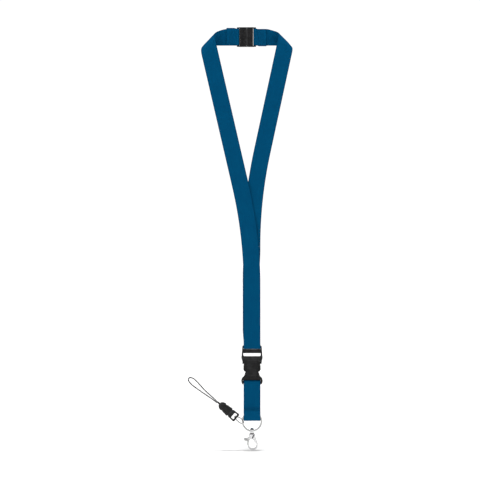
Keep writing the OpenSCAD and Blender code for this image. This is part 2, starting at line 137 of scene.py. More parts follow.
# ---- materials ----
class Nodes:
    """Short calls for building a node tree."""

    def __init__(self, tree):
        self.tree = tree

    def node(self, kind, **values):
        made = self.tree.nodes.new("ShaderNode" + kind)
        for key, value in values.items():
            setattr(made, key, value)
        return made

    def put(self, value, socket):
        if isinstance(value, (int, float)):
            socket.default_value = value
        elif isinstance(value, tuple):
            socket.default_value = (*value, 1) if len(value) == 3 and socket.type == "RGBA" else value
        else:
            self.tree.links.new(value, socket)

    def math(self, operation, *values, clamp=False):
        made = self.node("Math", operation=operation, use_clamp=clamp)
        for value, socket in zip(values, made.inputs):
            self.put(value, socket)
        return made.outputs[0]

    def noise(self, vector, scale, detail=2.0, rough=0.5):
        made = self.node("TexNoise")
        self.put(vector, made.inputs["Vector"])
        self.put(scale, made.inputs["Scale"])
        self.put(detail, made.inputs["Detail"])
        self.put(rough, made.inputs["Roughness"])
        return made.outputs["Fac"]

    def place(self):
        return self.node("TexCoord").outputs["Object"]

    def split(self, vector):
        made = self.node("SeparateXYZ")
        self.put(vector, made.inputs[0])
        return made.outputs

    def scaled(self, vector, scale):
        made = self.node("Mapping")
        self.put(vector, made.inputs["Vector"])
        made.inputs["Scale"].default_value = scale
        return made.outputs["Vector"]

    def span(self, value, low, high, to_low, to_high):
        made = self.node("MapRange")
        for socket, x in zip(made.inputs, (value, low, high, to_low, to_high)):
            self.put(x, socket)
        return made.outputs["Result"]

    def blend(self, factor, a, b):
        made = self.node("Mix", data_type="RGBA")
        self.put(factor, made.inputs["Factor"])
        self.put(a, made.inputs[6])
        self.put(b, made.inputs[7])
        return made.outputs[2]


class Graph(Nodes):
    """A node material on one Principled shader."""

    def __init__(self, name, colour, roughness, metallic=0.0):
        self.material = bpy.data.materials.new(name)
        self.material.use_nodes = True
        super().__init__(self.material.node_tree)
        self.shader = self.tree.nodes["Principled BSDF"]
        self.set("Base Color", (*colour, 1))
        self.set("Roughness", roughness)
        self.set("Metallic", metallic)

    def set(self, name, value):
        self.shader.inputs[name].default_value = value

    def bump(self, height, distance, strength=1.0):
        made = self.node("Bump")
        self.put(height, made.inputs["Height"])
        self.put(distance, made.inputs["Distance"])
        self.put(strength, made.inputs["Strength"])
        self.tree.links.new(made.outputs["Normal"], self.shader.inputs["Normal"])

    def drive(self, name, value):
        self.tree.links.new(value, self.shader.inputs[name])


END_PITCH, PICK_PITCH = 0.00046, 0.00052          # metres from yarn to yarn


def webbing_material():
    """Plain weave: warp ends run along the strap, weft picks across it."""
    g = Graph("webbing_blue", (0.0004, 0.062, 0.155), 0.86)
    uv = g.node("UVMap", uv_map="weave").outputs["UV"]
    across, along = g.split(uv)[:2]
    u = g.math("DIVIDE", across, END_PITCH)
    v = g.math("DIVIDE", along, PICK_PITCH)
    parity = g.math("PINGPONG", g.math("ADD", g.math("FLOOR", u), g.math("FLOOR", v)), 1)
    crest_u = g.math("SINE", g.math("MULTIPLY", g.math("FRACT", u), PI))
    crest_v = g.math("SINE", g.math("MULTIPLY", g.math("FRACT", v), PI))
    warp = g.math("MULTIPLY", crest_u, g.math("MULTIPLY_ADD", crest_v, 0.5, 0.5))
    weft = g.math("MULTIPLY", crest_v, g.math("MULTIPLY_ADD", crest_u, 0.4, 0.35))
    mixed = g.node("Mix", data_type="FLOAT")
    g.put(parity, mixed.inputs["Factor"])
    g.put(warp, mixed.inputs[2])
    g.put(weft, mixed.inputs[3])
    height = mixed.outputs[0]
    # yarns differ a little in shade, the dye varies slowly, the selvedge is darker
    yarn = g.noise(g.scaled(uv, (2170.0, 60.0, 1.0)), 1.0, 2.0)
    cloud = g.noise(uv, 55.0, 3.0)
    edge = g.span(g.math("ABSOLUTE", across), 0.0086, 0.0099, 0.0, 1.0)
    # the hollows between yarns are painted darker and the crests lighter: painted shade and highlight of the
    # weave
    shade = g.blend(g.span(height, 0.0, 0.95, 0.0, 1.0), (0.0002, 0.042, 0.104), (0.0003, 0.082, 0.192))
    shade = g.blend(g.span(yarn, 0.3, 0.7, 0.0, 0.35), shade, (0.0004, 0.093, 0.212))
    shade = g.blend(g.span(cloud, 0.35, 0.75, 0.0, 0.30), shade, (0.0003, 0.050, 0.134))
    shade = g.blend(g.math("MULTIPLY", edge, 0.5), shade, (0.0003, 0.029, 0.075))
    g.drive("Base Color", shade)
    g.drive("Roughness", g.span(yarn, 0.2, 0.8, 0.72, 0.95))
    g.set("Sheen Weight", 0.02)
    g.set("Sheen Roughness", 0.4)
    g.set("Sheen Tint", (0.1, 0.5, 0.8, 1))
    g.set("Specular IOR Level", 0.02)
    g.bump(height, 0.00007, 0.8)
    return g.material


def thread_material():
    g = Graph("stitching_thread", (0.001, 0.045, 0.115), 0.7)
    twist = g.noise(g.scaled(g.place(), (3000.0, 3000.0, 3000.0)), 1.0, 2.0)
    g.drive("Base Color", g.blend(twist, (0.001, 0.030, 0.080), (0.004, 0.085, 0.19)))
    g.drive("Roughness", g.span(twist, 0.2, 0.8, 0.55, 0.8))
    g.set("Specular IOR Level", 0.05)
    g.bump(twist, 0.00004, 0.6)
    return g.material


def plastic_material(name, colour, edge_highlight_and_wear, roughness):
    """Spark-eroded mould texture and faint flow marks; sharp edges, found by pointiness, are lighter and
    smoother: partly painted highlight, partly wear from handling.
    """
    g = Graph(name, colour, roughness)
    where = g.place()
    grain = g.noise(where, 2600.0, 3.0, 0.6)
    flow = g.noise(g.scaled(where, (120.0, 120.0, 40.0)), 1.0, 2.0)
    # sharp edges are painted lighter: partly painted highlight, partly handling wear
    edge_highlight_and_wear_mask = g.span(g.node("NewGeometry").outputs["Pointiness"], 0.50, 0.56, 0.0, 1.0)
    edge_highlight_and_wear_mask = g.math("MULTIPLY", edge_highlight_and_wear_mask, g.span(g.noise(where, 300.0), 0.3, 0.6, 0.2, 1.0), clamp=True)
    tone = g.blend(g.span(flow, 0.3, 0.7, 0.0, 1.0), colour, tuple(c * 1.35 for c in colour))
    g.drive("Base Color", g.blend(edge_highlight_and_wear_mask, tone, edge_highlight_and_wear))
    g.drive("Roughness", g.math("SUBTRACT", g.span(grain, 0.2, 0.8, roughness - 0.07, roughness + 0.1),
                                g.math("MULTIPLY", edge_highlight_and_wear_mask, 0.1)))
    g.set("Specular IOR Level", 0.13)
    g.bump(grain, 0.00002, 0.5)
    return g.material


def metal_material(name, colour, roughness, scuff):
    """Bright plate with polishing lines and a few duller, handled spots."""
    g = Graph(name, colour, roughness, 1.0)
    where = g.place()
    dull = g.span(g.noise(where, 420.0, 3.0), 0.45, 0.75, 0.0, 1.0)
    lines = g.noise(g.scaled(where, (6000.0, 6000.0, 500.0)), 1.0, 1.0)
    g.drive("Base Color", g.blend(g.math("MULTIPLY", dull, 0.5), colour, tuple(c * 0.82 for c in colour)))
    g.drive("Roughness", g.math("ADD", g.math("MULTIPLY", dull, scuff),
                                g.span(lines, 0.3, 0.7, roughness * 0.8, roughness * 1.3)))
    g.bump(lines, 0.000006, 0.35)
    return g.material


def cord_material():
    """Braided cord: dark strands with paler flecks where filaments catch light."""
    g = Graph("braided_cord", (0.03, 0.03, 0.032), 0.8)
    where = g.place()
    fleck = g.span(g.noise(where, 2400.0, 3.0, 0.65), 0.42, 0.68, 0.0, 1.0)
    slow = g.noise(where, 500.0, 2.0)
    tone = g.blend(fleck, (0.008, 0.008, 0.009), (0.075, 0.075, 0.078))
    g.drive("Base Color", g.blend(g.span(slow, 0.3, 0.7, 0.0, 0.5), tone, (0.03, 0.03, 0.032)))
    g.drive("Roughness", g.span(fleck, 0.0, 1.0, 0.9, 0.6))
    g.set("Sheen Weight", 0.25)
    g.set("Specular IOR Level", 0.3)
    g.bump(fleck, 0.00003, 0.5)
    return g.material


# each finish is a material and the record's slot
WEBBING = webbing_material(), "webbing"
THREAD = thread_material(), "thread"
# the third colour of each plastic is its lighter edge colour: painted highlight and handling wear
PLASTIC = (plastic_material("black_acetal", (0.0055, 0.0055, 0.0057), (0.026, 0.026, 0.027), 0.5),
           "black_plastic")
HOLDER_PLASTIC = (plastic_material("black_holder_acetal", (0.010, 0.010, 0.0103), (0.05, 0.05, 0.052), 0.46),
                  "black_plastic")
NICKEL = metal_material("nickel_plate", (0.66, 0.66, 0.665), 0.14, 0.14), "nickel"
# a darker copy of the nickel plate, for the split ring and the thumb lever
DARKER_NICKEL = metal_material("nickel_darker", (0.46, 0.46, 0.455), 0.20, 0.14), "nickel"
STEEL = metal_material("spring_wire", (0.30, 0.30, 0.31), 0.25, 0.12), "spring_steel"
# near-black steel used only for painted shade: a dark disc in the swivel's gap and a dark plate behind the
# hook's slit
PAINTED_SHADE_STEEL = metal_material("painted_shade_steel", (0.07, 0.07, 0.072), 0.35, 0.12), "nickel"
CORD = cord_material(), "cord"


# ---- mesh helpers ----
def clean(mesh, distance=1e-4):
    """Turns the faces outward, and merges doubles unless distance is 0."""
    bm = bmesh.new()
    bm.from_mesh(mesh)
    if distance:
        bmesh.ops.remove_doubles(bm, verts=bm.verts, dist=distance)
        bmesh.ops.dissolve_degenerate(bm, edges=bm.edges, dist=distance / 10)
    bmesh.ops.recalc_face_normals(bm, faces=bm.faces)
    bm.to_mesh(mesh)
    bm.free()
    return mesh


def from_lists(name, verts, faces):
    mesh = bpy.data.meshes.new(name)
    mesh.from_pydata(verts, [], faces)
    return mesh


def evaluated(ob):
    """The object's mesh with its modifiers applied; the object itself goes."""
    bpy.context.view_layer.update()
    mesh = bpy.data.meshes.new_from_object(ob.evaluated_get(bpy.context.evaluated_depsgraph_get()))
    bpy.data.objects.remove(ob)
    return mesh


def temporary(mesh):
    ob = bpy.data.objects.new("temporary", mesh)
    scene.collection.objects.link(ob)
    return ob


def plate(outline, half, bevel, holes=(), facing="y"):
    """A flat shape with round edges. facing y: outline in X and Z, thickness along Y.
    facing z: outline in X and Y, thickness along Z. facing x: outline in Y and Z."""
    data = bpy.data.curves.new("plate", "CURVE")
    data.dimensions = "2D"
    data.fill_mode = "BOTH"
    data.extrude = half - bevel
    data.bevel_depth = bevel
    data.bevel_resolution = 2
    data.offset = -bevel
    for loop in [outline, *holes]:
        spline = data.splines.new("POLY")
        spline.points.add(len(loop) - 1)
        for point, (a, b) in zip(spline.points, loop):
            point.co = (a, b, 0, 1)
        spline.use_cyclic_u = True
    mesh = evaluated(temporary(data))
    turn = {"y": Matrix.Rotation(PI / 2, 4, "X"), "z": Matrix.Identity(4),
            "x": Matrix(((0, 0, 1, 0), (1, 0, 0, 0), (0, 1, 0, 0), (0, 0, 0, 1)))}[facing]
    mesh.transform(turn)
    return clean(mesh)


def block(low, high, bevel):
    (x0, y0, z0), (x1, y1, z1) = low, high
    mesh = plate([(x0, z0), (x1, z0), (x1, z1), (x0, z1)], (y1 - y0) / 2, bevel)
    mesh.transform(Matrix.Translation((0, (y0 + y1) / 2, 0)))
    return mesh


def lathe(profile, axis="z", sides=40):
    """Turns (radius, height) pairs, starting and ending on the axis."""
    verts, faces = [(0, 0, profile[0][1])], []
    rings = profile[1:-1]
    for radius, height in rings:
        verts += [(radius * math.cos(2 * PI * k / sides), radius * math.sin(2 * PI * k / sides), height)
                  for k in range(sides)]
    verts.append((0, 0, profile[-1][1]))
    for k in range(sides):
        nxt = (k + 1) % sides
        faces.append((0, 1 + nxt, 1 + k))
        for ring in range(len(rings) - 1):
            a = 1 + ring * sides
            faces.append((a + k, a + nxt, a + sides + nxt, a + sides + k))
        last = 1 + (len(rings) - 1) * sides
        faces.append((last + k, last + nxt, len(verts) - 1))
    mesh = from_lists("lathe", verts, faces)
    if axis == "x":
        mesh.transform(Matrix.Rotation(PI / 2, 4, "Y"))
    if axis == "y":
        mesh.transform(Matrix.Rotation(-PI / 2, 4, "X"))
    return clean(mesh)


def rod(radius, half, axis="z", edge=0.25, sides=40):
    edge = min(edge, radius * 0.9, half * 0.9)
    bend = [(radius - edge + edge * math.sin(a), edge - edge * math.cos(a))
            for a in (0, PI / 6, PI / 3, PI / 2)]
    low = [(r, h - half) for r, h in bend]
    return lathe([(0, -half), *low, *[(r, -h) for r, h in reversed(low)], (0, half)], axis, sides)


def moved(mesh, x=0.0, y=0.0, z=0.0):
    mesh.transform(Matrix.Translation((x, y, z)))
    return mesh


def reflected(mesh, mirror):
    mesh.transform(mirror)
    mesh.flip_normals()
    return mesh


def combine(base, parts, operation):
    ob = temporary(base)
    others = [temporary(p) for p in parts]
    for other in others:
        change = ob.modifiers.new("join", "BOOLEAN")
        change.operation = operation
        change.solver = "EXACT"
        change.object = other
    mesh = evaluated(ob)
    for other in others:
        bpy.data.objects.remove(other)
    if len(mesh.polygons) == 0:
        raise RuntimeError("a boolean left nothing")
    return mesh


def fuse(first, *parts):
    return combine(first, parts, "UNION")


def carve(first, *parts):
    return combine(first, parts, "DIFFERENCE")


def cast(mesh, voxel, passes):
    """One skin with softened edges, as a casting has."""
    ob = temporary(mesh)
    skin = ob.modifiers.new("skin", "REMESH")
    skin.mode = "VOXEL"
    skin.voxel_size = voxel
    soften = ob.modifiers.new("soften", "SMOOTH")
    soften.factor = 0.5
    soften.iterations = passes
    return evaluated(ob)


def piece(name, mesh, finish, body, node, matrix=None, sharp=38):
    """Puts a mesh made in millimetres into the scene, on its body, in its CAD node's place."""
    material, slot = finish
    if matrix is not None:
        mesh.transform(matrix)
    mesh.transform(Matrix.Scale(MM, 4))
    mesh.name = name
    mesh.materials.clear()
    mesh.materials.append(material)
    mesh.polygons.foreach_set("use_smooth", [True] * len(mesh.polygons))
    if sharp:
        mesh.set_sharp_from_angle(angle=math.radians(sharp))
    ob = bpy.data.objects.new(name, mesh)
    scene.collection.objects.link(ob)
    if body:
        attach(ob, body)
    if node:
        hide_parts(node)
    return ob


def smooth_step(low, high, x):
    t = min(max((x - low) / (high - low), 0.0), 1.0)
    return t * t * (3 - 2 * t)


def bow(a, b, c, n):
    """n steps of a curve from a to c, drawn towards b."""
    return [tuple((1 - t) ** 2 * a[k] + 2 * t * (1 - t) * b[k] + t * t * c[k] for k in (0, 1))
            for t in [i / n for i in range(n + 1)]]


def arc(cx, cy, r, a, b, n):
    """n steps round a circle, from a to b degrees."""
    return [(cx + r * math.cos(math.radians(a + (b - a) * i / n)),
             cy + r * math.sin(math.radians(a + (b - a) * i / n))) for i in range(n + 1)]


def both(points):
    """The points, then their mirror images in the second axis."""
    return list(points) + [(-x, y) for x, y in reversed(points)]


def both_low(points):
    """The points, then their mirror images in the first axis."""
    return list(points) + [(x, -y) for x, y in reversed(points)]


def spaced(points, step):
    """A smooth curve through the points, sampled about every step."""
    pts = [Vector(p) for p in points]
    pts = [2 * pts[0] - pts[1], *pts, 2 * pts[-1] - pts[-2]]
    fine = []
    for a, b, c, d in zip(pts, pts[1:], pts[2:], pts[3:]):
        for t in [k / 24 for k in range(24)]:
            fine.append(0.5 * (2 * b + (c - a) * t + (2 * a - 5 * b + 4 * c - d) * t * t
                               + (3 * b - a - 3 * c + d) * t ** 3))
    fine.append(pts[-2])
    length = sum((q - p).length for p, q in zip(fine, fine[1:]))
    count = max(2, round(length / step))
    out, walked, target = [fine[0]], 0.0, length / count
    for p, q in zip(fine, fine[1:]):
        gap = (q - p).length
        while gap > 0 and walked + gap >= target - 1e-9 and len(out) < count:
            out.append(p.lerp(q, (target - walked) / gap))
            target += length / count
        walked += gap
    out.append(fine[-1])
    return out, length


def circle(radius, sides):
    return [(radius * math.cos(2 * PI * k / sides), radius * math.sin(2 * PI * k / sides))
            for k in range(sides)]


def sweep(points, section, side):
    """Carries a cross-section along points. section(i) gives (x, y) pairs."""
    verts, faces = [], []
    n = side
    for i, p in enumerate(points):
        t = (points[min(i + 1, len(points) - 1)] - points[max(i - 1, 0)]).normalized()
        n = (n - t * n.dot(t)).normalized()
        b = t.cross(n)
        verts += [p + n * x + b * y for x, y in section(i)]
    sides = len(verts) // len(points)
    for i in range(len(points) - 1):
        for k in range(sides):
            a, c = i * sides + k, i * sides + (k + 1) % sides
            faces.append((a, c, c + sides, a + sides))
    faces.append(tuple(reversed(range(sides))))
    faces.append(tuple(range((len(points) - 1) * sides, len(points) * sides)))
    return clean(from_lists("sweep", verts, faces), 0)


# ---- cords ----
def braid(route, diameter, carriers, pitch, side):
    """A cord of crossing strands: its surface rises where strands run over."""
    points, length = spaced(route, 0.17)
    step = length / (len(points) - 1)

    def section(i):
        run = 2 * PI * i * step / pitch
        out = []
        for turn in [2 * PI * k / 16 for k in range(16)]:
            over = max(math.cos(carriers * turn + run), math.cos(carriers * turn - run))
            r = diameter / 2 * (0.95 + 0.05 * over)
            out.append((r * math.cos(turn), r * math.sin(turn)))
        return out

    return sweep(points, section, side), points, length


PHONE_ROUTE = [
    (-34.2, -14.3, -427.6), (-36.3, -14.6, -424.8), (-39.8, -14.6, -421.6),
    (-44.6, -14.5, -417.3), (-49.6, -14.4, -412.6), (-55.3, -14.3, -406.2),
    (-58, -14.2, -403.3), (-60.2, -14.1, -401.3), (-62.2, -14, -399.9), (-64, -14, -399.1),
    (-65.6, -14, -398.9), (-67, -14, -399.4), (-67.8, -14, -400.7), (-67.6, -14, -402.4),
    (-66.6, -13.9, -404.2), (-65, -13.9, -406), (-62.8, -13.8, -408.1),
    (-59.4, -13.7, -410.6), (-55.3, -13.6, -413.5), (-49.6, -13.5, -417.5),
    (-44.6, -13.4, -420.9), (-41.2, -13.4, -423.2), (-36.8, -13.4, -426.4),
    (-34.6, -13.7, -428)]
TETHER_ROUTE = [
    (-12.6, -14.6, -443.2), (-12.1, -15.7, -443.5), (-11, -16.3, -444.1),
    (-9.4, -16.3, -444.9), (-8, -15.9, -445.4), (-6.4, -15.7, -446.4),
    (-5.1, -15.6, -447.9), (-4.2, -15.5, -449.4), (-3.4, -15, -450.4), (-3, -14, -450.9),
    (-3.3, -13, -451.3), (-4.2, -12.5, -451.9), (-5.4, -12.3, -452.3), (-6.8, -12.1, -452.2),
    (-8.4, -11.9, -451.4), (-9.8, -11.7, -450.2), (-11.4, -11.7, -448.6),
    (-12.4, -11.7, -447.6), (-13.2, -11.7, -446.6), (-13.8, -12.3, -445.5),
    (-13.8, -13.2, -444.5), (-13.3, -13.7, -443.9)]

PHONE_D, TETHER_D = 1.3, 0.9
phone_mesh, phone_points, phone_length = braid(PHONE_ROUTE, PHONE_D, 3, 2.6, Vector((0, 1, 0)))
tether_mesh, tether_points, tether_length = braid(TETHER_ROUTE, TETHER_D, 3, 2.0, Vector((1, 0, 0)))

# the phone holder's place: its +X runs from the end by the ring towards the phone cord
CLIP = (Matrix.Translation((-11.5, HARD_Y, RING_Z + 3.8))
        @ Matrix.Rotation(math.radians(-139.7), 4, "Y"))

sleeve_profile = [(0, -3.6), (0.75, -3.6), (0.95, -3.45), (1.0, -3.2), (1.0, -1.4), (1.12, -1.1), (1.12, 0.3),
                  (1.0, 0.6), (1.0, 2.9), (0.95, 3.3), (0.8, 3.55), (0, 3.6)]
sleeve = piece("cord_sleeve_crimp", moved(lathe(sleeve_profile, "x"), 26.2), (PLASTIC[0], "cord"),
               "phone_end", "cord_sleeve", CLIP)
phone = piece("phone_cord_loop", phone_mesh, CORD, "phone_end", "phone_cord", sharp=0)
tether = piece("tether_loop", tether_mesh, CORD, None, "tether_cord", sharp=0)
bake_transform(tether)


# ---- webbing ----
DRAW_IN = 1.2                                     # each layer's move towards the other below the fork
CORNER_DROOP = 4.2                                # how far the band's upper edge sags at a corner
COLUMNS = [-1, -0.985, -0.95, -0.88, -0.7, -0.45, -0.22, 0, 0.22, 0.45, 0.7, 0.88, 0.95, 0.985, 1]


def swell(share):
    """Thickness across the strap: full in the middle, a soft bead at the selvedge."""
    e = abs(share)
    if e > 0.99:
        return 0.35
    if e > 0.97:
        return 0.78
    return 1.0 + 0.10 * math.exp(-((e - 0.94) / 0.04) ** 2)


def webbing_mesh(rows, closed=False):
    """rows: (distance along, place) where place(u) gives a point and its normal."""
    verts, faces, weave = [], [], []
    m = len(COLUMNS)
    for along, place in rows:
        spots = [(share * H, *place(share * H)) for share in COLUMNS]
        for sign in (1, -1):
            for share, (u, p, n) in zip(COLUMNS, spots):
                verts.append(p + n * (sign * STRAP_T / 2 * swell(share)))
                weave.append((u * MM, along * MM))
    ring = [*range(m), *range(2 * m - 1, m - 1, -1)]
    count = len(rows)
    for i in range(count if closed else count - 1):
        a, b = i * 2 * m, ((i + 1) % count) * 2 * m
        for k in range(2 * m):
            p, q = ring[k], ring[(k + 1) % (2 * m)]
            faces.append((a + p, b + p, b + q, a + q))
    if not closed:
        for start, flip in ((0, False), ((count - 1) * 2 * m, True)):
            for k in range(m - 1):
                quad = (start + k, start + k + 1, start + m + k + 1, start + m + k)
                faces.append(tuple(reversed(quad)) if flip else quad)
    mesh = clean(from_lists("webbing", verts, faces), 0)
    layer = mesh.uv_layers.new(name="weave")
    for loop in mesh.loops:
        layer.data[loop.index].uv = weave[loop.vertex_index]
    return mesh


def ripple(along, u, seed, size):
    """Slow unevenness of hanging cloth, out of its plane."""
    return size * (noise.noise(Vector((along * 0.035, u * 0.05, seed)))
                   + 0.5 * noise.noise(Vector((along * 0.11, u * 0.14, seed + 7.3))))


def seam_pinch(x):
    """How deep the stitch rows draw the cloth in at x."""
    return sum(0.16 * math.exp(-((x + row) / 0.45) ** 2) for row in STITCH_ROWS)


def steps(a, b, size):
    """Even steps of about that size from a, short of b."""
    count = max(1, round(abs(b - a) / size))
    return [a + (b - a) * k / count for k in range(count)]


FRONT = Vector((0, -1, 0))


def neck_rows(axis, merge, leg_y, draw_in, seed, flap_lift):
    """Flap, wrap round the breakaway's bar, band, rolled corner and leg, for the left side."""
    tilt = math.atan((NECK_HALF + axis) / merge)
    roll = -leg_y / 2
    turn = (PI / 2 + tilt) / 2
    n = Vector((-math.sin(turn), 0, math.cos(turn)))
    start = NECK_HALF * math.sin(turn) - roll * PI / 2
    rows, walked = [], 0.0

    for x in steps(-FLAP_X, -NECK_BAR_X, 0.75):
        def flap(u, x=x, along=walked + x + FLAP_X):
            y = -FLAP_Y - (2 * NECK_WRAP_R - FLAP_Y) * smooth_step(-15.5, -NECK_BAR_X - 0.2, x)
            slope = (2 * NECK_WRAP_R - FLAP_Y) * smooth_step(-16, -13, x) * 0.35
            y += seam_pinch(x) - 0.10 * math.exp(-((x + 18.2) / 0.5) ** 2)
            lift = flap_lift * smooth_step(-NECK_BAR_X - 1, -15, x)
            y -= abs(ripple(along, u, seed, 0.25))
            return Vector((x, y, u + lift)), Vector((-slope * 0.3, -1, 0)).normalized()
        rows.append((walked + x + FLAP_X, flap))
    walked += FLAP_X - NECK_BAR_X

    for k in range(12):
        a = PI * (1 - k / 12)
        def wrap(u, a=a):
            out = Vector((math.sin(a), math.cos(a), 0))
            return Vector((-NECK_BAR_X, BREAK_Y, u)) + NECK_WRAP_R * out, out
        rows.append((walked + (PI - a) * NECK_WRAP_R, wrap))
    walked += PI * NECK_WRAP_R
    origin = walked - NECK_BAR_X          # distance along where x would be 0

    straight = merge / math.cos(tilt) - BEND_R * math.tan(tilt / 2)
    corner_end = NECK_HALF + PI * roll + 6

    def fold(along, u):
        """The flat strap wrapped round an axis in line with the mitre."""
        q = Vector((origin - along, 0, u))
        d = n.dot(q) - start
        base = q - n * n.dot(q)
        if d <= 0:
            spot, out = q - Vector((0, seam_pinch(q.x), 0)), Vector((0, 1, 0))
        elif d < PI * roll:
            a = d / roll
            out = n * math.sin(a) + Vector((0, math.cos(a), 0))
            spot = base + n * start + Vector((0, -roll, 0)) + roll * out
        else:
            spot = base + n * (start - (d - PI * roll)) + Vector((0, leg_y, 0))
            out = FRONT
        return spot, out

    def settled(spot, out, along, u):
        # the band's upper edge droops and leans back as it nears the fold
        droop = smooth_step(-22, -42, spot.x) * max(0.0, (spot.z + H) / STRAP_W) ** 1.3
        spot = spot + Vector((0, 0.9 * droop, -CORNER_DROOP * droop))
        pull = draw_in * smooth_step(-70, -190, spot.z)
        flat = smooth_step(-FLAP_X - 2, -FLAP_X - 14, spot.x) if spot.z > -20 else 1.0
        return spot + Vector((0, pull, 0)) + out * ripple(along, u, seed, 0.35) * flat, out

    for along in (steps(origin + NECK_BAR_X, origin + FLAP_X + 4, 0.8)
                  + steps(origin + FLAP_X + 4, origin + corner_end + 14, 1.2)
                  + steps(origin + corner_end + 14, origin + NECK_HALF + straight, 3.0)):
        rows.append((along, lambda u, along=along: settled(*fold(along, u), along, u)))
    walked = origin + NECK_HALF + straight

    end_z = -merge - BEND_R * math.tan(tilt / 2)
    pivot = Vector((axis - BEND_R, leg_y, end_z))
    for a in steps(tilt, 0, 3.0 / BEND_R):
        along = walked + (tilt - a) * BEND_R
        def bend(u, a=a, along=along):
            d = Vector((math.cos(a), 0, math.sin(a)))
            return settled(pivot + (BEND_R + u) * d, FRONT, along, u)
        rows.append((along, bend))
    walked += tilt * BEND_R
    rows.append((walked, lambda u: settled(Vector((axis + u, leg_y, end_z)), FRONT, walked, u)))
    return rows, walked, end_z


FRONT_Y, BACK_Y = HARD_Y - WRAP_R, HARD_Y + WRAP_R
LEFT_SEED, RIGHT_SEED, BACK_SEED = 3.1, 8.7, 5.9
LEFT_LIFT, RIGHT_LIFT = 1.1, -0.9                 # the flaps aren't sewn quite square
right_tilt = math.atan((NECK_HALF - AXIS_X) / RIGHT_MERGE)
JOIN_Z = -RIGHT_MERGE - BEND_R * math.tan(right_tilt / 2)


def closing(z):
    """How far the doubled layers have drawn together at a height above the plug's bar."""
    return smooth_step(BAR_Z + 4, BAR_Z + 34, z)


left_rows, left_walked, left_end = neck_rows(AXIS_X, LEFT_MERGE, FRONT_Y, DRAW_IN, LEFT_SEED, LEFT_LIFT)
left_rows.pop()                                   # the lower strap's first row takes its place
for z in steps(left_end, BAR_Z, 2.4):
    def front(u, z=z, along=left_walked + left_end - z):
        y = FRONT_Y + (DRAW_IN + ripple(along, u, LEFT_SEED, 0.35)) * closing(z)
        return Vector((AXIS_X + u, y, z)), FRONT
    left_rows.append((left_walked + left_end - z, front))
left_walked += left_end - BAR_Z
for k in range(14):
    a = PI * k / 14
    def under(u, a=a):
        out = Vector((0, -math.cos(a), -math.sin(a)))
        return Vector((AXIS_X + u, HARD_Y, BAR_Z)) + WRAP_R * out, out
    left_rows.append((left_walked + a * WRAP_R, under))
left_walked += PI * WRAP_R
BACK_SLIP = -1.0                                  # the rear layer shows at one side
for z in steps(BAR_Z, JOIN_Z - 0.05, 2.4) + [JOIN_Z - 0.05]:
    def back(u, z=z, along=left_walked + z - BAR_Z):
        y = BACK_Y + (ripple(along, u, BACK_SEED, 0.3) - DRAW_IN) * closing(z)
        slip = (BACK_SLIP * smooth_step(BAR_Z + 4, BAR_Z + 20, z)
                * (1 - smooth_step(JOIN_Z - 34, JOIN_Z - 2, z)))
        return Vector((AXIS_X + u + slip, y, z)), Vector((0, 1, 0))
    left_rows.append((left_walked + z - BAR_Z, back))

right_rows, right_length, _ = neck_rows(-AXIS_X, RIGHT_MERGE, BACK_Y, -DRAW_IN, RIGHT_SEED, RIGHT_LIFT)
MIRROR = Matrix.Diagonal((-1, 1, 1, 1))


def mirrored(rows):
    return [(along, lambda u, place=place: [MIRROR @ v for v in place(u)]) for along, place in rows]


strap_left = piece("webbing_left", webbing_mesh(left_rows), WEBBING, "neck_loop", "strap_left", sharp=0)
strap_right = piece("webbing_right", webbing_mesh(mirrored(right_rows)), WEBBING, None, "strap_right",
                    sharp=0)
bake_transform(strap_right)


def tab_line():
    """The tab's closed middle line in Y and Z: bar wrap, seam, pocket and bottom fold."""
    r = END_BAR_R + FIT + STRAP_T / 2
    half = arc(0, END_BAR_Z, r, 90, 180, 6)
    half += [(-r + 0.1, END_BAR_Z - 3), (-r + 0.35, END_BAR_Z - 8), (-1.15, SEAM_Z + 12), (-0.72, SEAM_Z + 4),
             (-0.6, SEAM_Z + 0.6), (-1.1, SEAM_Z - 0.7), (-2.6, SEAM_Z - 1.9), (-3.75, SEAM_Z - 3.1),
             (-3.85, SEAM_Z - 4.4), (-3.1, SEAM_Z - 7.2), (-2.4, SEAM_Z - 10), (-1.95, TAB_BOTTOM + 2.5)]
    half += arc(0, TAB_BOTTOM + 2.3, 1.8, 195, 255, 3)
    return half + [(0, TAB_BOTTOM + 0.5)] + [(-y, z) for y, z in reversed(half[1:])]


line = tab_line()
loop_points, tab_length = spaced([(0, *p) for p in line + line[:1]], 0.9)
loop_points = loop_points[:-1]
tab_rows = []
for i, p in enumerate(loop_points):
    ahead = loop_points[(i + 1) % len(loop_points)] - loop_points[i - 1]
    out = Vector((0, ahead.z, -ahead.y)).normalized()
    along = tab_length * i / len(loop_points)
    def tab(u, p=p, out=out, along=along):
        soft = 0.1 * noise.noise(Vector((along * 0.12, u * 0.12, 4.4))) if p.z < END_BAR_Z - 6 else 0
        return Vector((AXIS_X + u, HARD_Y, 0)) + p + out * soft, out
    tab_rows.append((along, tab))
tab_strap = piece("webbing_tab", webbing_mesh(tab_rows, closed=True), WEBBING, "tab", "tab_strap", sharp=0)


# ---- stitching ----
STITCHES = 9                                      # in each row


def stitch(a, b, out):
    """One lockstitch: a short thread that dives into the cloth at both ends."""
    points = [a.lerp(b, t) + out * (0.30 * math.sin(PI * t) ** 0.5 - 0.22)
              for t in [k / 8 for k in range(9)]]
    return sweep(points, lambda i: circle(0.2, 8), out)


def joined(meshes):
    """The meshes as one, side by side."""
    bm = bmesh.new()
    for mesh in meshes:
        bm.from_mesh(mesh)
    mesh = bpy.data.meshes.new("joined")
    bm.to_mesh(mesh)
    bm.free()
    return mesh


def neck_stitches(sign, lift):
    made = []
    for row in STITCH_ROWS:
        for k in range(STITCHES):
            for y, out, up in ((-1.55, -1, lift), (0.42, 1, 0)):
                a = Vector((-sign * row, y, -8.4 + 1.87 * k + up))
                made.append(stitch(a, a + Vector((0, 0, 1.45)), Vector((0, out, 0))))
    return joined(made)


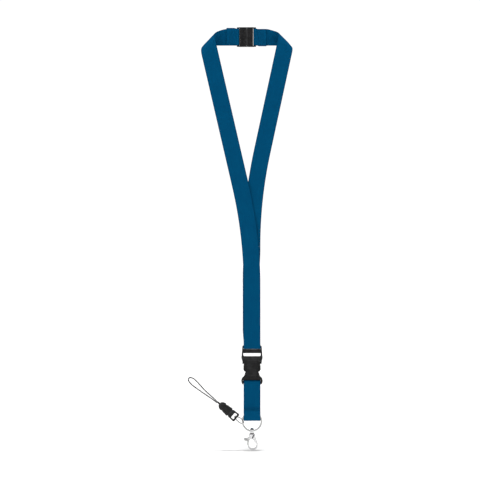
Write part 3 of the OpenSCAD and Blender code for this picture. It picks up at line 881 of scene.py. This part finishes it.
left_thread = piece("stitching_left", neck_stitches(1, LEFT_LIFT), THREAD, "neck_loop",
                    "neck_stitching_left", sharp=0)
right_thread = piece("stitching_right", neck_stitches(-1, RIGHT_LIFT), THREAD, "right_half",
                     "neck_stitching_right", sharp=0)
tab_threads = []
for row in (0.2, 1.9):
    for k in range(STITCHES):
        for side in (-1, 1):
            a = Vector((AXIS_X - 8.5 + 1.95 * k, HARD_Y + side * 1.12, SEAM_Z + row))
            tab_threads.append(stitch(a, a + Vector((1.5, 0, 0)), Vector((0, side, 0))))
tab_thread = piece("stitching_tab", joined(tab_threads), THREAD, "tab", "tab_stitching", sharp=0)


# ---- breakaway ----
PART_X = 0.6                                      # where the two halves meet
BREAK_T = 2.5
BREAK_PLACE = Matrix.Translation((0, BREAK_Y, 0))


def grooved(x0, x1, grooves):
    """A breakaway half's body, with rounded grooves in its front."""
    points = [(x1, BREAK_T), (x0, BREAK_T), (x0, -BREAK_T)]
    for g in grooves:
        points += [(g + x, depth - BREAK_T) for x, depth in
                   ((-0.48, 0), (-0.28, 0.3), (0, 0.42), (0.28, 0.3), (0.48, 0))]
    return plate(points + [(x1, -BREAK_T)], BREAK_H, 0.22, facing="z")


def breakaway_end(sign):
    """The two rails and the bar that the neck webbing wraps."""
    rail_low = H + 0.3
    side = arc(NECK_BAR_X, 0, 1.1, -90, 90, 8) + [(6.5, BREAK_T - 0.2), (6.5, -BREAK_T + 0.2)]
    side = [(sign * x, y) for x, y in side]
    rails = [moved(plate(side, (BREAK_H - rail_low) / 2, 0.3, facing="z"), z=s * (rail_low + BREAK_H) / 2)
             for s in (1, -1)]
    return [*rails, moved(rod(NECK_BAR_R, BREAK_H - 0.3, "z", 0.2), sign * NECK_BAR_X)]


shell = fuse(grooved(-8.02, PART_X - 0.05, [-6.3 + 1.5 * k for k in range(4)]), *breakaway_end(-1))
shell = carve(shell, block((-6.3, -1.2, -7.2), (3, 1.2, 7.2), 0.15),
              block((-0.6, -0.8, -10.2), (3, 0.8, 10.2), 0.1))
piece("breakaway_socket_half", shell, PLASTIC, "neck_loop", "breakaway_socket", BREAK_PLACE)
prongs = plate(both_low([(1.2, 6.4), (-4.9, 6.4), (-5.55, 5.8), (-5.55, 4.6), (-4.4, 4.3), (0.1, 4.2),
                         (0.1, 2.2), (-5.3, 2.2), (-5.55, 1.9)]), 0.9, 0.2)
shell = fuse(grooved(PART_X + 0.05, 7.75, [2.6 + 1.5 * k for k in range(3)]), *breakaway_end(1), prongs,
             block((-0.4, -0.6, -10), (1.2, 0.6, 10), 0.1))
piece("breakaway_tongue_half", shell, PLASTIC, "right_half", "breakaway_tongue", BREAK_PLACE)


# ---- side-release buckle ----
BUCKLE = Matrix.Translation((AXIS_X, HARD_Y, BAR_Z))
STRAP_ROOM = H + 0.13                             # half width of the openings for webbing
PIVOT_X, PIVOT_Z = 7.9, -13.8                     # the release arms' roots
frame_outline = both([(10.6, 1.6), (10.95, 1.3), (11.3, 0), (11.9, -8), (12.1, -11.1), (10.3, -11.2),
                      (10.1, -12.6)])
lower_slot = both([(10.2, -7.2), (10.2, -10.0), (9.4, -10.9)])
plug = plate(frame_outline, 1.9, 0.3, [lower_slot])
plug = carve(plug, block((-STRAP_ROOM, -4, -2.75), (STRAP_ROOM, 4, 5), 0.1))
parts = [rod(BAR_R, 10.7, "x", 0.3)]
for i in range(-8, 9):
    ridge = [(-0.34, -6.7), (0.34, -6.7), (0.34, -3.3), (-0.34, -3.3)]
    parts.append(moved(plate(ridge, 0.45, 0.3), i * 1.15, -1.85))
plug = fuse(plug, *parts)
base = block((-10.2, -2.4, -15), (10.2, 2.4, -11.3), 0.25)
base = carve(base, *[block((s * PIVOT_X - 1.9, -1.85, -16), (s * PIVOT_X + 1.9, 1.85, -12.4), 0.05)
                     for s in (-1, 1)])
guide = plate(both([(1.8, -14.2), (1.8, -23), (1.0, -24.4)]), 1.6, 0.35)
stubs = [moved(rod(0.5, 2.3, "y", 0.1, 20), s * PIVOT_X, 0, PIVOT_Z) for s in (-1, 1)]
plug = fuse(plug, base, guide, *stubs)
piece("buckle_plug_frame", plug, PLASTIC, "neck_loop", "buckle_plug", BUCKLE)


def arm_shape():
    """A springy arm hanging from its root with its ribbed pad towards +X."""
    stem = plate([(-1.1, 0), (-1.2, -4), (1.1, -4), (1.1, 0)], 1.7, 0.25)
    edge = [(-1.2, -2.4), (-1.3, -5.9), (-2.3, -13.2), (-2.1, -15)]
    edge += bow((0.3, -15.1), (2.1, -13.4), (2.1, -11.9), 6)
    for z in (-11.4, -10.3, -9.2):
        edge += [(2.12, z - 0.28), (1.85, z - 0.12), (1.85, z + 0.12), (2.12, z + 0.28)]
    edge += [(2.05, -8.3), (1.5, -5.9), (1.1, -4.4), (1.1, -2.4)]
    arm = fuse(plate(edge, 2.2, 0.32), stem, rod(1.2, 1.7, "y", 0.15, 32))
    return carve(arm, rod(0.56, 5, "y", 0.05, 24))


piece("buckle_arm_right", arm_shape(), PLASTIC, "arm_right", "release_arm_right",
      BUCKLE @ Matrix.Translation((PIVOT_X, 0, PIVOT_Z)))
piece("buckle_arm_left", reflected(arm_shape(), MIRROR), PLASTIC, "arm_left", "release_arm_left",
      BUCKLE @ Matrix.Translation((-PIVOT_X, 0, PIVOT_Z)))

collar = [(11.1, -8.3), (11.2, -6.3), (12, -2.5), (12.3, -1.2), (12.4, 0)]
waist = bow((7.4, -8.3), (5.3, -13.4), (7.7, -18.7), 16)
flare = bow((8.2, -18.9), (8.3, -22.6), (11.6, -25), 10)
foot = bow((12.4, -27.6), (12.5, -30.6), (10.9, -32.3), 8)
upper = plate(both(collar[::-1] + waist + [(7.5, -21)]), 4.0, 0.55)
lower = plate(both(flare + foot), 3.3, 0.7)
rim = plate(both([(12.45, 0.0), (12.3, -1.5), (11.95, -2.6)]), 4.35, 0.5)
panel_edge = bow((6.6, -7.6), (4.7, -13.4), (6.6, -18.2), 16)
panel = plate(both([(8.9, -4.2), *panel_edge, (6.0, -22.5)]), 4.3, 0.3)
cavity = plate(both([(11.1, 1), (11.1, 0), (9.65, -8.3), (9.65, -18.85)]), 2.7, 0.2)
opening = block((-STRAP_ROOM, -10, -36), (STRAP_ROOM, 10, -27.1), 0.05)
socket = fuse(upper, lower, rim, panel)
socket = carve(socket, cavity, opening)
socket = fuse(socket, moved(rod(END_BAR_R, 10.8, "x", 0.2), z=-END_BAR_DROP))
piece("buckle_socket_shell", socket, PLASTIC, "lower_buckle", "buckle_socket",
      Matrix.Translation((AXIS_X, HARD_Y, MOUTH_Z)))


# ---- key ring ----
def split_ring():
    """Two turns of flattened wire that cross over at the bottom, each with a free end."""
    count = 332
    points = []
    for degrees in [-62 + 2 * k for k in range(count + 1)]:
        a = math.radians(degrees)
        y = WIRE_R * (smooth_step(236, 304, degrees) - 0.5)
        points.append(Vector((RING_MID_R * math.cos(a), y, RING_MID_R * math.sin(a))))

    def section(i):
        shrink = min(1.0, 0.35 + 0.65 * min(i, count - i) / 3)
        return [(shrink * 0.46 * math.copysign(abs(c) ** 0.6, c),
                 shrink * 0.93 * math.copysign(abs(s) ** 0.8, s)) for c, s in circle(1, 16)]
    return sweep(points, section, Vector((0, 1, 0)))


piece("split_key_ring", split_ring(), DARKER_NICKEL, "ring", "key_ring",
      Matrix.Translation((AXIS_X, HARD_Y, RING_Z)), sharp=50)


# ---- swivel hook ----
POST_R = 1.1
HOOK = Matrix.Translation((AXIS_X, HARD_Y, 0))
dome = plate(both([(y, EYE_Z + 1.27 * z) for y, z in arc(0, 0, 2.75, 0, 90, 8)[::-1]]
                  + [(2.75, EYE_BASE + 0.25)]), 2.75, 0.9, facing="x")
flange = lathe([(0, 0.15), (2.5, 0.15), (2.85, 0.35), (2.85, 0.7), (2.6, 0.95), (0, 0.95)])
eye = fuse(dome, moved(flange, z=EYE_BASE))
beside_dome = [(2.75, EYE_BASE + 1.2), (2.68, EYE_BASE + 2.2), (2.35, EYE_Z + 1.4), (1.85, EYE_Z + 2.5),
               (1.1, EYE_Z + 3.3), (1.1, EYE_Z + 5), (5, EYE_Z + 5), (5, EYE_BASE + 1.2)]
shoulders = [plate([(s * x, z) for x, z in beside_dome], 5, 0.05) for s in (-1, 1)]
dimple = moved(lathe([(0, -0.8), (0.5, -0.7), (0.8, -0.4), (0.9, 0), (0.9, 0.8), (0, 0.8)], "y", 24),
               0, -2.85, EYE_Z + 0.1)
eye = carve(eye, moved(rod(1.4, 5, "x", 0.1), z=EYE_Z), *shoulders, dimple)
eye = cast(eye, 0.13, 4)
post = fuse(moved(rod(POST_R, (EYE_BASE - HEAD_TOP + 2) / 2, "z", 0.1), z=(HEAD_TOP + EYE_BASE - 1.8) / 2),
            moved(rod(1.4, 0.375, "z", 0.15), z=HEAD_TOP - 2.1))
eye = joined([eye, post])
piece("swivel_eye_cast", eye, NICKEL, "eye", "swivel_eye", HOOK, sharp=55)

# a dark disc in the gap between the swivel eye and the hook's head: painted shade of the deep groove there
gap_shade_disc = lathe([(0, 0.08), (2.3, 0.08), (2.45, 0.2), (2.45, 0.8), (2.3, 0.95), (0, 0.95)])
piece("swivel_gap_painted_shade", moved(gap_shade_disc, z=HEAD_TOP), PAINTED_SHADE_STEEL, "eye", None, HOOK, sharp=45)

GATE_X, GATE_Z = -2.5, HEAD_TOP - 4.3
GATE = HOOK @ Matrix.Translation((GATE_X, 0, GATE_Z))
BOW_X, BOW_Z = 0.8, HEAD_TOP - 12.9


def teardrop(r, top_r, top_x, rise):
    """The bow's outline: a large arc below and a small one above it."""
    return (arc(BOW_X, BOW_Z, r, -90, 18, 20) + arc(top_x, BOW_Z + rise, top_r, 10, 170, 12)
            + arc(BOW_X, BOW_Z, r, 162, 270, 20)[:-1])


hook = plate(teardrop(6.1, 3.6, 0, 9.4), 1.25, 0.55, [teardrop(4.3, 1.3, 0.4, 5)])
head = plate(both([(2.6, HEAD_TOP), (3.3, HEAD_TOP - 0.5), (3.8, HEAD_TOP - 3), (4.15, HEAD_TOP - 5.6),
                   (3.6, HEAD_TOP - 6.6)]), 2.15, 0.75)
hook = fuse(hook, head)
mouth = plate([(-8, BOW_Z + 1), (-3.2, BOW_Z - 2), (-1, BOW_Z + 2), (0.4, BOW_Z + 5.8), (0.4, HEAD_TOP - 6.1),
               (-8, HEAD_TOP - 6.1)], 5, 0.05)
SLIT = [(1.5, HEAD_TOP - 1.0), (2.6, HEAD_TOP - 1.0), (1.1, HEAD_TOP - 5.1), (-0.4, HEAD_TOP - 5.1)]
slit = moved(plate(SLIT, 0.9, 0.02), y=-2.1)
hook = carve(hook, mouth, slit, block((-6, -1.05, HEAD_TOP - 7), (3.1, 1.05, HEAD_TOP - 1.6), 0.02),
             moved(rod(POST_R + 0.1, 2.5, "z", 0.02), z=HEAD_TOP - 0.5))
hook = cast(hook, 0.12, 5)
piece("hook_cast_body", hook, NICKEL, "hook", "hook_body", HOOK, sharp=0)
# a dark plate just behind the slit: painted shade inside the slit
piece("hook_slit_painted_shade", moved(plate(SLIT, 0.14, 0.05), y=-1.42), PAINTED_SHADE_STEEL, "hook", None, HOOK)

lever = [(3.4, -0.6), (5.3, -0.6), (5.3, -1.25), (1.6, -1.7), (0.3, -2), (-0.7, -3.4), (-1.35, -6),
         (-1.3, -9.8), (-2.95, -8.77), (-3.25, -7.1), (-3.1, -5.6), (-2.6, -3.6), (-2.3, -2.5)]
lever += bow((-2.3, -2.5), (-4.2, -4.5), (-6.2, -3.6), 8)[1:]
lever += bow((-6.2, -3.6), (-7.2, -2.6), (-5.4, -1.4), 8)[1:]
lever += [(-2.2, -0.1)] + arc(0, 0, 1.35, 160, 20, 8)
gate = plate(lever, 0.92, 0.28)
paddle = lathe([(0, -1.0), (0.6, -0.93), (1.15, -0.7), (1.5, -0.35), (1.6, 0), (1.5, 0.35), (1.15, 0.7),
                (0.6, 0.93), (0, 1.0)], "z", 32)
paddle.transform(Matrix.Translation((-4.7, 0, -2.6)) @ Matrix.Rotation(math.radians(28), 4, "Y")
                 @ Matrix.Diagonal((1.6, 0.9, 1.6, 1)))
gate = cast(carve(fuse(gate, paddle), rod(0.6, 5, "y", 0.02, 28)), 0.1, 3)
piece("gate_thumb_lever", gate, DARKER_NICKEL, "gate", "gate_lever", GATE, sharp=0)
pin = lathe(both_low([(0, -2.35), (0.45, -2.33), (0.75, -2.2), (0.82, -2.06), (0.55, -2.04)]), "y", 28)
piece("gate_rivet", pin, NICKEL, "hook", "gate_pin", GATE, sharp=40)

SPRING_X, SPRING_TURNS = 2.25, 5.5
SPRING_LOW, SPRING_TOP = GATE_Z - 0.5, HEAD_TOP - 1.65
coil = []
for t in [k / 150 for k in range(151)]:
    a = 2 * PI * SPRING_TURNS * t
    rise = (smooth_step(0, 0.12, t) * 0.12 + smooth_step(0.12, 0.88, t) * 0.76
            + smooth_step(0.88, 1, t) * 0.12)
    coil.append(Vector((0.55 * math.cos(a), 0.55 * math.sin(a),
                        SPRING_LOW + 0.13 + (SPRING_TOP - SPRING_LOW - 0.26) * rise)))
spring = piece("gate_coil_spring", sweep(coil, lambda i: circle(0.12, 10), Vector((0, 0, 1))), STEEL,
               "hook", "gate_spring", HOOK @ Matrix.Translation((SPRING_X, 0, 0)), sharp=0)
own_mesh(spring)


# ---- phone holder ----
MOUTH = 9.4                                       # where the two halves meet
ARM_X, ARM_Z = 8.4, 3.7                           # the arms' roots
plug = plate(both_low([(0.0, -4.4), (0.35, -5.0), (1.0, -5.4), (6.8, -5.2), (8.6, -5.05), (9.25, -4.8)]),
             1.7, 0.4,
             [[(2.0, -3.0), (2.6, -3.6), (5.2, -3.6), (5.8, -3.0), (5.8, 3.0), (5.2, 3.6), (2.6, 3.6),
               (2.0, 3.0), (2.0, 0.75), (2.9, 0.55), (2.9, -0.55), (2.0, -0.75)]])
plug = carve(plug, *[block((ARM_X - 1.1, -1.15, s * ARM_Z - 1.05), (ARM_X + 4, 1.15, s * ARM_Z + 1.05), 0.03)
                     for s in (-1, 1)])
plug = fuse(plug, plate(both_low([(8, -1), (13.6, -1), (14.2, -0.5)]), 0.9, 0.2),
            *[moved(rod(0.35, 1.6, "y", 0.05, 20), ARM_X, 0, s * ARM_Z) for s in (-1, 1)])
piece("holder_plug_frame", plug, HOLDER_PLASTIC, "holder", "clip_plug", CLIP)


def holder_arm():
    """An arm with its ribbed pad, pointing away from the ring."""
    pad = [(1.3, -0.65), (3.5, -0.7), (9, -0.7), (10.6, -0.45), (11.05, -0.1), (11.1, 0.4), (10.6, 0.75),
           (9.8, 1.0), (8.6, 1.3)]
    for x in (7.4, 6.5, 5.6, 4.7):
        top = 1.5 + (6 - x) * 0.14
        pad += [(x + 0.24, top), (x + 0.12, top - 0.22), (x - 0.12, top - 0.22), (x - 0.24, top + 0.03)]
    pad += [(3.6, 1.86), (3.2, 1.9), (2.8, 1.83), (2.5, 1.6), (2.3, 1.2), (2.1, 0.6), (1.3, 0.6)]
    arm = fuse(plate(pad, 1.3, 0.22), plate([(0, -0.6), (2, -0.6), (2, 0.6), (0, 0.6)], 1.0, 0.15),
               rod(0.75, 1.0, "y", 0.1, 28))
    return carve(arm, rod(0.4, 5, "y", 0.02, 20))


piece("holder_arm_left_pad", holder_arm(), HOLDER_PLASTIC, "holder_arm_left", "clip_arm_left",
      CLIP @ Matrix.Translation((ARM_X, 0, ARM_Z)))
piece("holder_arm_right_pad", reflected(holder_arm(), Matrix.Diagonal((1, 1, -1, 1))), HOLDER_PLASTIC,
      "holder_arm_right", "clip_arm_right", CLIP @ Matrix.Translation((ARM_X, 0, -ARM_Z)))

edge = [(MOUTH, 3.9), (11, 3.7), (13, 3.5), (17.5, 3.5), (19.0, 3.95), (19.8, 4.4), (20.6, 4.9),
        (21.5, 4.85), (22.4, 4.6), (23.8, 4.0), (25.0, 3.1), (25.8, 2.2), (26.1, 1.4)]
shell = plate(both_low(edge), 2.6, 0.5)
hollow = plate(both_low([(8, 5.2), (19.8, 5.2)]), 1.6, 0.05)
groove = both_low([(12.3, -0.35), (12.6, -0.45), (20.8, -0.45), (21.1, -0.35)])
grooves = [moved(plate(groove, 0.6, 0.2), 0, -2.7, z) for z in (-2.1, 0, 2.1)]
shell = carve(shell, hollow, moved(rod(1.1, 6, "x", 0.05, 28), 26), *grooves)
piece("holder_socket_shell", shell, HOLDER_PLASTIC, "phone_end", "clip_socket", CLIP)


# ---- floor and light ----
FLOOR_HALF = 14.0
FLOOR_Z = CAD_BOX[0][2] - 0.0006


def grey(level):
    return (level, level, level)


g = Graph("pale_floor", grey(0.93), 0.9)
g.set("Specular IOR Level", 0.0)
g.drive("Base Color", g.blend(g.noise(g.place(), 3.0), grey(0.92), grey(0.94)))
corners = [(x * FLOOR_HALF, y * FLOOR_HALF, FLOOR_Z) for x, y in ((-1, -1), (1, -1), (1, 1), (-1, 1))]
floor_mesh = from_lists("floor", corners, [(0, 1, 2, 3)])
floor_mesh.materials.append(g.material)
floor = bpy.data.objects.new("floor", floor_mesh)
scene.collection.objects.link(floor)
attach(floor, "lower_buckle")      # it stays under the hook when the buckle slides down

world = bpy.data.worlds.new("studio")
scene.world = world
world.use_nodes = True
tree = world.node_tree
tree.nodes["Background"].inputs["Strength"].default_value = 1.0
studio = Nodes(tree)
east, north, up = studio.split(studio.node("TexCoord").outputs["Generated"])
# in front a white wall with two dark flags, behind and above it greyer; plain white to the camera
beside_flag = studio.math("ABSOLUTE", studio.math("SUBTRACT", studio.math("ABSOLUTE", east), 0.5))
level = studio.blend(studio.span(beside_flag, 0.10, 0.22, 0.0, 1.0), grey(0.06), grey(0.98))
level = studio.blend(studio.span(north, -0.15, 0.25, 0.0, 1.0), level, grey(0.30))
level = studio.blend(studio.span(up, 0.35, 0.6, 0.0, 1.0), level, grey(0.18))
level = studio.blend(studio.node("LightPath").outputs["Is Camera Ray"], level, grey(1.05))
studio.put(level, tree.nodes["Background"].inputs["Color"])


def softbox(name, location, target, size, watts):
    data = bpy.data.lights.new(name, "AREA")
    data.shape = "RECTANGLE"
    data.size, data.size_y = size
    data.energy = watts
    ob = bpy.data.objects.new(name, data)
    ob.location = location
    ob.rotation_euler = (Vector(target) - Vector(location)).to_track_quat("-Z", "Y").to_euler()
    scene.collection.objects.link(ob)


MIDDLE = (0.0, 0.0, -0.24)
softbox("key", (-0.9, -1.3, 0.55), MIDDLE, (0.7, 0.9), 5.5)
softbox("fill", (1.2, -1.1, 0.1), MIDDLE, (0.6, 0.8), 2.4)
overhead = bpy.data.lights.new("overhead", "SUN")
overhead.energy = 3.05
overhead.angle = math.radians(12)
overhead = bpy.data.objects.new("overhead", overhead)
scene.collection.objects.link(overhead)
